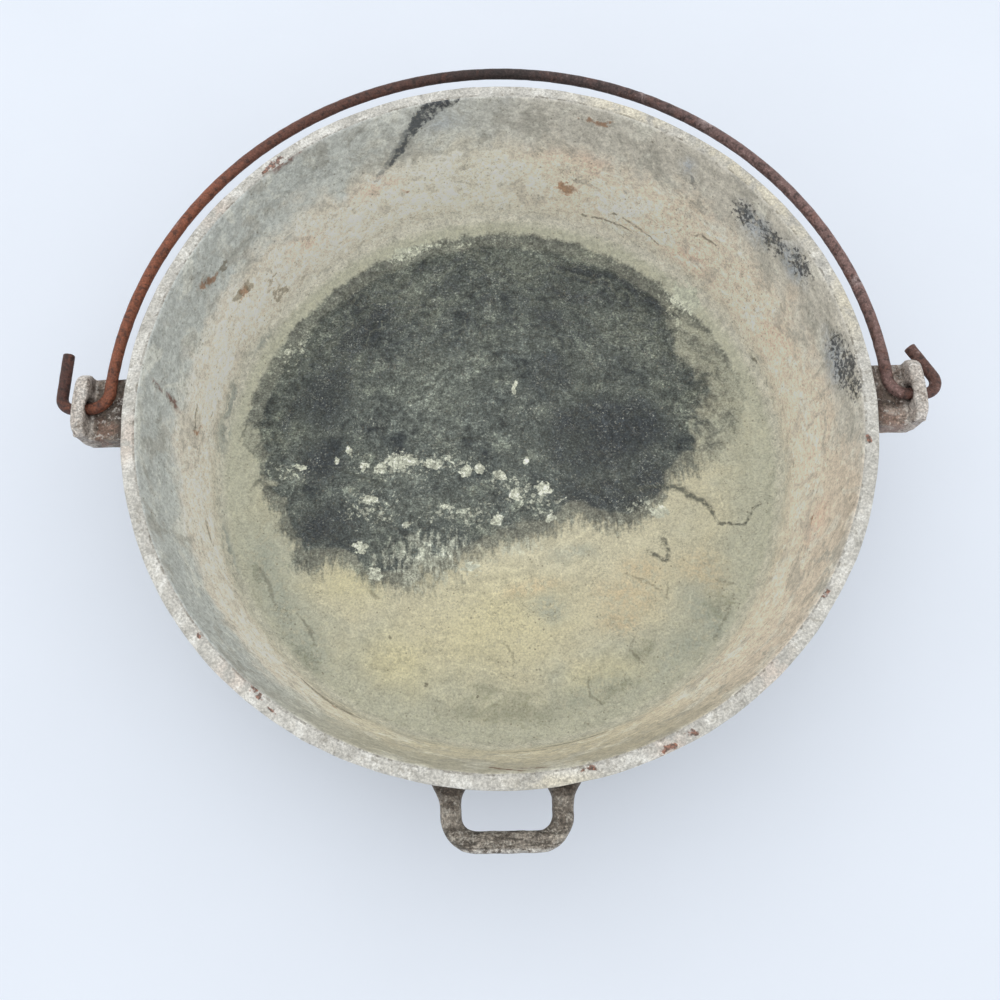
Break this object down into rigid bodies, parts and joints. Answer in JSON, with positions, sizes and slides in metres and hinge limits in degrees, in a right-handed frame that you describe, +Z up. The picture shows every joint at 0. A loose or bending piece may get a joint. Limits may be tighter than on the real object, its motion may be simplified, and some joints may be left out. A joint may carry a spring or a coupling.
{
  "type": "dutch oven",
  "caption": "Shallow round cast cooking pot with sloped wall, rim band, pierced bail ears, a looped tilt handle and a swinging wire bail, without a lid.",
  "frame": {"origin": "centre of the base, on the surface that the pot stands on", "axes": "+Z up, X through both bail ears, -Y towards the looped tilt handle"},
  "size_m": [0.3642, 0.3409, 0.088],
  "materials": {
    "cast_aluminium": "rough cast, stained and scaled",
    "bail_wire": "rusted"
  },
  "bodies": {
    "pot": {"pot": "cast_aluminium"},
    "bail": {"bail": "bail_wire"}
  },
  "joints": [
    {"name": "bail_hinge", "type": "hinge", "parent": "pot", "child": "bail", "pos_m": [0, 0, 0.0814], "axis": [1, 0, 0], "range_deg": [0, 179]}
  ]
}
